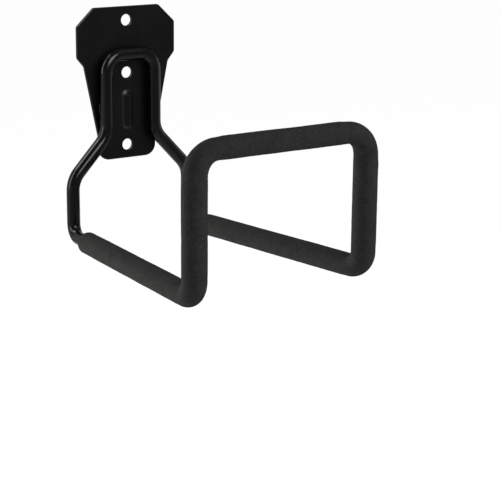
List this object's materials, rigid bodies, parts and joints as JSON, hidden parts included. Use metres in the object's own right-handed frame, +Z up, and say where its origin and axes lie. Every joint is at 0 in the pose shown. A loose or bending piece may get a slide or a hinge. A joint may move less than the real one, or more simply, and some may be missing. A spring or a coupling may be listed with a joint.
{
  "type": "hose hanger",
  "caption": "Wall hanger for a coiled hose: a screw-on steel plate with a welded bent bar that forms two splayed arms and an upright front loop in a foam sleeve.",
  "frame": {"origin": "middle of the screw line, half way between the top and bottom holes, on the plate's wall face", "axes": "+X right as seen from the room, +Y into the wall, +Z up; the arms and loop stand out towards -Y"},
  "size_m": [0.1566, 0.2183, 0.1793],
  "materials": {
    "coated_plate": "satin black powder coat",
    "coated_bar": "semi-gloss black powder coat",
    "foam": "matte closed-cell foam"
  },
  "bodies": {
    "root": {"wall_plate": "coated_plate", "bent_bar": "coated_bar", "weld_beads": "coated_bar", "foam_sleeve": "foam"}
  },
  "joints": []
}
